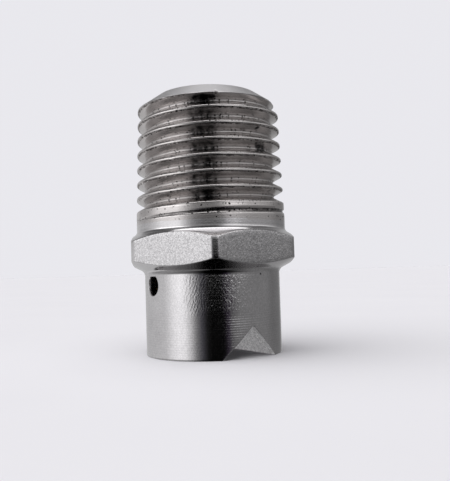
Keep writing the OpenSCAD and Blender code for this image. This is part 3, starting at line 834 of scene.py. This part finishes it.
# compression spring: 5 turns, the end turns closed
SPRING_Z0, SPRING_Z1, TURNS, WIRE = 11.26, 13.367, 5.0, 0.30
turn_u = np.linspace(0, TURNS, 241)
end_rise = WIRE * 1.02
rise = np.interp(turn_u, [0, 1, TURNS - 1, TURNS], [0, end_rise, SPRING_Z1 - SPRING_Z0 - end_rise, SPRING_Z1 - SPRING_Z0])
coil = np.stack([1.25 * np.cos(TAU * turn_u), 1.25 * np.sin(TAU * turn_u), SPRING_Z0 + rise], -1)
spring = tubes("valve_spring_coil", [coil], 0.14, 12)
finish_piece(spring, "valve_spring", wire_m)
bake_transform(spring)

# the ball
BALL_R, BALL_Z = 1.6, 14.62
lat = np.linspace(-math.pi / 2, math.pi / 2, 33)
ball_v = [(0, 0, BALL_Z - BALL_R)] + [(BALL_R * math.cos(p) * math.cos(TAU * i / 64), BALL_R * math.cos(p) * math.sin(TAU * i / 64), BALL_Z + BALL_R * math.sin(p))
                                      for p in lat[1:-1] for i in range(64)] + [(0, 0, BALL_Z + BALL_R)]
ball_f = [(0, 1 + (i + 1) % 64, 1 + i) for i in range(64)]
for r_ in range(30):
    ball_f += [(1 + r_ * 64 + i, 1 + r_ * 64 + (i + 1) % 64, 1 + (r_ + 1) * 64 + (i + 1) % 64, 1 + (r_ + 1) * 64 + i) for i in range(64)]
top = len(ball_v) - 1
ball_f += [(top, top - 64 + i, top - 64 + (i + 1) % 64) for i in range(64)]
ball = make_mesh("valve_ball_round", ball_v, ball_f)
finish_piece(ball, "valve_ball", ball_m, "ball")

# woven wire sleeve: upright wires pass over and under the hoops
WARP, HOOPS, CLOTH_R, CLOTH_WIRE, SWING = 60, 17, 2.675, 0.040, 0.032
z_lo_, z_hi_ = 17.66, 21.84
step_z = (z_hi_ - z_lo_) / (HOOPS - 1)
zz = np.linspace(z_lo_ - 0.05, z_hi_ + 0.05, (HOOPS - 1) * 4 + 1)
wires = []
for k_ in range(WARP):
    ang_ = TAU * k_ / WARP
    rr_ = CLOTH_R + SWING * np.cos(math.pi * (zz - z_lo_) / step_z + math.pi * k_)
    wires.append(np.stack([rr_ * math.cos(ang_), rr_ * math.sin(ang_), zz], -1))
uprights = tubes("strainer_mesh_uprights", wires, CLOTH_WIRE, 5)
finish_piece(uprights, "strainer_mesh", cloth_m, "body")
tt = np.arange(WARP * 4) * TAU / (WARP * 4)
hoops = []
for j_ in range(HOOPS):
    rr_ = CLOTH_R - SWING * np.cos(math.pi * tt / (TAU / WARP) + math.pi * j_)
    hoops.append(np.stack([rr_ * np.cos(tt), rr_ * np.sin(tt), np.full_like(tt, z_lo_ + step_z * j_)], -1))
hoop_ob = tubes("strainer_mesh_hoops", hoops, CLOTH_WIRE, 5, closed=True)
finish_piece(hoop_ob, "strainer_mesh", cloth_m, "body")

# open snap ring with broken edges
c_ = 0.06
ring_ob = swept("retaining_ring_open", [(3.1 + c_, 17.6), (4.12 - c_, 17.6), (4.12, 17.6 + c_), (4.12, 18.15 - c_), (4.12 - c_, 18.15), (3.1 + c_, 18.15),
                                        (3.1, 18.15 - c_), (3.1, 17.6 + c_)], 105.3, 434.7, 133)
finish_piece(ring_ob, "retaining_ring", dark_m, "body")

# ------------------------------------------------------------------ the stage
# brightness of the room: a bright window to the left, a dark gap where the camera is, a grey right side
FLOOR_LIGHT = 3.5
BACKDROP = (0.815, 0.81, 0.85)
RING = [(-180, .56), (-150, .58), (-120, .66), (-101, .71), (-88, .73), (-79, .90), (-69, 1.16), (-58, 1.34), (-48, 1.26), (-38, .80), (-28, .27), (-19, (.080, .078, .092)), (-10, .012),
        (-3, .002), (20, .002), (26, (.040, .030, .050)), (33, .14), (44, .225), (100, .235), (118, .19), (150, .20), (168, .45), (180, .56)]
RAISED = [(-180, .64), (-150, .60), (-120, .42), (-104, .58), (-92, .90), (-82, 1.15), (-52, 1.20), (-44, .92), (-35, .56), (-26, .38), (-16, .31), (0, .29),
          (12, .32), (20, .45), (27, .82), (38, .85), (50, .62), (62, .50), (96, .44), (112, .34), (125, .25), (150, .25), (168, .45), (180, .52)]
HIGHER = [(-180, .55), (-120, .50), (-100, .80), (-88, 1.8), (-80, 2.35), (-48, 2.35), (-36, 1.0), (-26, .25), (8, .20), (18, .60), (27, 1.45), (52, 1.35), (68, 1.10), (100, .85),
          (125, .35), (150, .30), (180, .55)]
ABOVE = [(-180, .32), (-158, .30), (-130, .18), (-100, .12), (-84, .20), (-68, .32), (-50, .33), (-38, .27), (-28, .17), (-16, .065), (0, .045), (13, .09), (25, .25), (38, .40), (50, .42), (72, .28), (95, .16), (130, .25), (158, .30), (180, .32)]
BELOW = [(-180, .44), (-160, .54), (-146, .80), (-133, .42), (-124, .30), (-108, .34), (-92, .30), (-78, .23), (-60, .18), (-45, .125), (-33, .07), (-22, .015), (-14, 0.0), (30, 0.0), (40, .02),
         (58, .10), (80, .18), (102, .21), (120, .17), (150, .25), (180, .40)]
ZENITH = (1.9, 1.9, 1.93)
UNDER = [(-180, .16), (-120, .22), (-70, .20), (-45, .04), (-28, 0.0), (35, 0.0), (60, .05), (120, .12), (180, .16)]
UP1, UPH, UP2, UP3, DN1, DN2 = (3.3, 5.0), (11.5, 14.0), (21.0, 28.0), (56.5, 63.0), (-8.0, -34.0), (-48.0, -66.0)
def floor_mesh():
    n, rmax = 96, 3.0
    verts, faces = [(0, 0, 0)], []
    radii = [0.03, 0.1, 0.3, 0.9, rmax, 12.0, 60.0]
    for r in radii:
        verts += [(r * math.cos(TAU * i / n), r * math.sin(TAU * i / n), 0) for i in range(n)]
    for i in range(n):
        faces.append((0, 1 + i, 1 + (i + 1) % n))
        for k in range(len(radii) - 1):
            a, b = 1 + k * n, 1 + (k + 1) * n
            faces.append((a + i, b + i, b + (i + 1) % n, a + (i + 1) % n))
    me = bpy.data.meshes.new("floor")
    me.from_pydata(verts, [], faces)
    ob = bpy.data.objects.new("floor", me)
    scene.collection.objects.link(ob)
    return ob


floor = floor_mesh()
fm = Mat("pale_floor")
floor.data.materials.append(fm.done(fm.ramp(fm.noise(0.03, 3.0), [(0.3, (0.800, 0.790, 0.828)), (0.7, (0.815, 0.805, 0.842))]), 0.6, None, 0.0))
fm.p.inputs["Specular IOR Level"].default_value = 0.0

# camera, in a frame turned by CAM_AZ about Z
F_PX, D, TX, TZ, TILT, ROLL = 620.0, 56.95, -1.300, 1.844, -0.051, 0.030
a = math.radians(-CAM_AZ)
Rz = np.array([[math.cos(a), -math.sin(a), 0], [math.sin(a), math.cos(a), 0], [0, 0, 1]])
Rt = np.array([[1, 0, 0], [0, math.cos(TILT), -math.sin(TILT)], [0, math.sin(TILT), math.cos(TILT)]])
Rr = np.array([[math.cos(ROLL), 0, -math.sin(ROLL)], [0, 1, 0], [math.sin(ROLL), 0, math.cos(ROLL)]])
Mx = Rr @ Rt @ Rz
C = np.array([0, 0, 12.0]) + Mx.T @ -np.array([TX, D, TZ])
right, fwd, up = Mx.T @ [1, 0, 0], Mx.T @ [0, 1, 0], Mx.T @ [0, 0, 1]
cd = bpy.data.cameras.new("camera")
cam = bpy.data.objects.new("camera", cd)
scene.collection.objects.link(cam)
mw = Matrix.Identity(4)
for i in range(3):
    mw[i][0], mw[i][1], mw[i][2], mw[i][3] = right[i], up[i], -fwd[i], C[i] * MM
cam.matrix_world = mw
cd.sensor_fit = "AUTO"
cd.sensor_width = 36.0
cd.lens = F_PX / 481 * 36.0
cd.clip_start, cd.clip_end = 0.001, 100
scene.camera = cam

# a broad soft lamp for the floor and the dull parts; the metal is lit by the surroundings alone
sd = bpy.data.lights.new("soft_lamp", "SUN")
sd.energy = FLOOR_LIGHT
sd.angle = math.radians(100)
sun = bpy.data.objects.new("soft_lamp", sd)
scene.collection.objects.link(sun)
sun.rotation_mode = "QUATERNION"
ta = math.radians(CAM_AZ - 60)
sun.rotation_quaternion = Vector((math.sin(ta) * 0.42, -math.cos(ta) * 0.42, 0.90)).to_track_quat("Z", "Y")
sun.visible_glossy = False
floor.visible_glossy = False

w = bpy.data.worlds.new("room")
scene.world = w
w.use_nodes = True
w.cycles_visibility.diffuse = False
nt = w.node_tree
nt.nodes.clear()
out = nt.nodes.new("ShaderNodeOutputWorld")
tc = nt.nodes.new("ShaderNodeTexCoord")


def dot(vec):
    n = nt.nodes.new("ShaderNodeVectorMath")
    n.operation = "DOT_PRODUCT"
    nt.links.new(tc.outputs["Generated"], n.inputs[0])
    n.inputs[1].default_value = vec
    return n.outputs["Value"]


def wmath(op, *vals):
    n = nt.nodes.new("ShaderNodeMath")
    n.operation = op
    for s_, v in zip(n.inputs, vals):
        if isinstance(v, (int, float)):
            s_.default_value = v
        else:
            nt.links.new(v, s_)
    return n.outputs[0]


def wspan(v, a_, b_, lo=0.0, hi=1.0):
    n = nt.nodes.new("ShaderNodeMapRange")
    n.interpolation_type = "SMOOTHSTEP"
    nt.links.new(v, n.inputs["Value"])
    for key, val in (("From Min", a_), ("From Max", b_), ("To Min", lo), ("To Max", hi)):
        n.inputs[key].default_value = val
    return n.outputs["Result"]


def wmix(fac, a_, b_):
    n = nt.nodes.new("ShaderNodeMix")
    n.data_type = "RGBA"
    for sock, v in ((n.inputs["Factor"], fac), (n.inputs["A"], a_), (n.inputs["B"], b_)):
        if isinstance(v, tuple):
            sock.default_value = (*v, 1)
        else:
            nt.links.new(v, sock)
    return [o for o in n.outputs if o.type == "RGBA"][0]


t = math.radians(CAM_AZ)
front = dot((math.sin(t), -math.cos(t), 0))
side = dot((math.cos(t), math.sin(t), 0))
height = dot((0, 0, 1))
turn = wmath("MULTIPLY_ADD", wmath("ARCTAN2", side, front), 1 / TAU, 0.5)
elev = wmath("MULTIPLY", wmath("ARCSINE", height), 180 / math.pi)


def band(stops):
    """Brightness round the room against the direction, in degrees to the right of the camera."""
    r = nt.nodes.new("ShaderNodeValToRGB")
    els = r.color_ramp.elements
    while len(els) > 1:
        els.remove(els[-1])
    for i, (deg, v) in enumerate(stops):
        e = els[0] if i == 0 else els.new((deg + 180) / 360)
        e.position = (deg + 180) / 360
        c = v if isinstance(v, tuple) else (v, v, v * 1.015)
        e.color = (*c, 1)
    nt.links.new(turn, r.inputs[0])
    return r.outputs["Color"]


level = band(RING)
raised = band(RAISED)
above = band(ABOVE)
below = band(BELOW)
sky = wmix(wspan(elev, *UP1), level, raised)
sky = wmix(wspan(elev, *UPH), sky, band(HIGHER))
sky = wmix(wspan(elev, *UP2), sky, above)
sky = wmix(wspan(elev, *UP3), sky, ZENITH)
sky = wmix(wspan(elev, *DN1), sky, below)
sky = wmix(wspan(elev, *DN2), sky, band(UNDER))
bg = nt.nodes.new("ShaderNodeBackground")
nt.links.new(sky, bg.inputs["Color"])
bg.inputs["Strength"].default_value = 1.0
bg2 = nt.nodes.new("ShaderNodeBackground")
bg2.inputs["Color"].default_value = (*BACKDROP, 1)
bg2.inputs["Strength"].default_value = 1.0
lp = nt.nodes.new("ShaderNodeLightPath")
ms = nt.nodes.new("ShaderNodeMixShader")
nt.links.new(lp.outputs["Is Camera Ray"], ms.inputs[0])
nt.links.new(bg.outputs[0], ms.inputs[1])
nt.links.new(bg2.outputs[0], ms.inputs[2])
nt.links.new(ms.outputs[0], out.inputs["Surface"])

scene.view_settings.view_transform = "Standard"
scene.view_settings.look = "None"
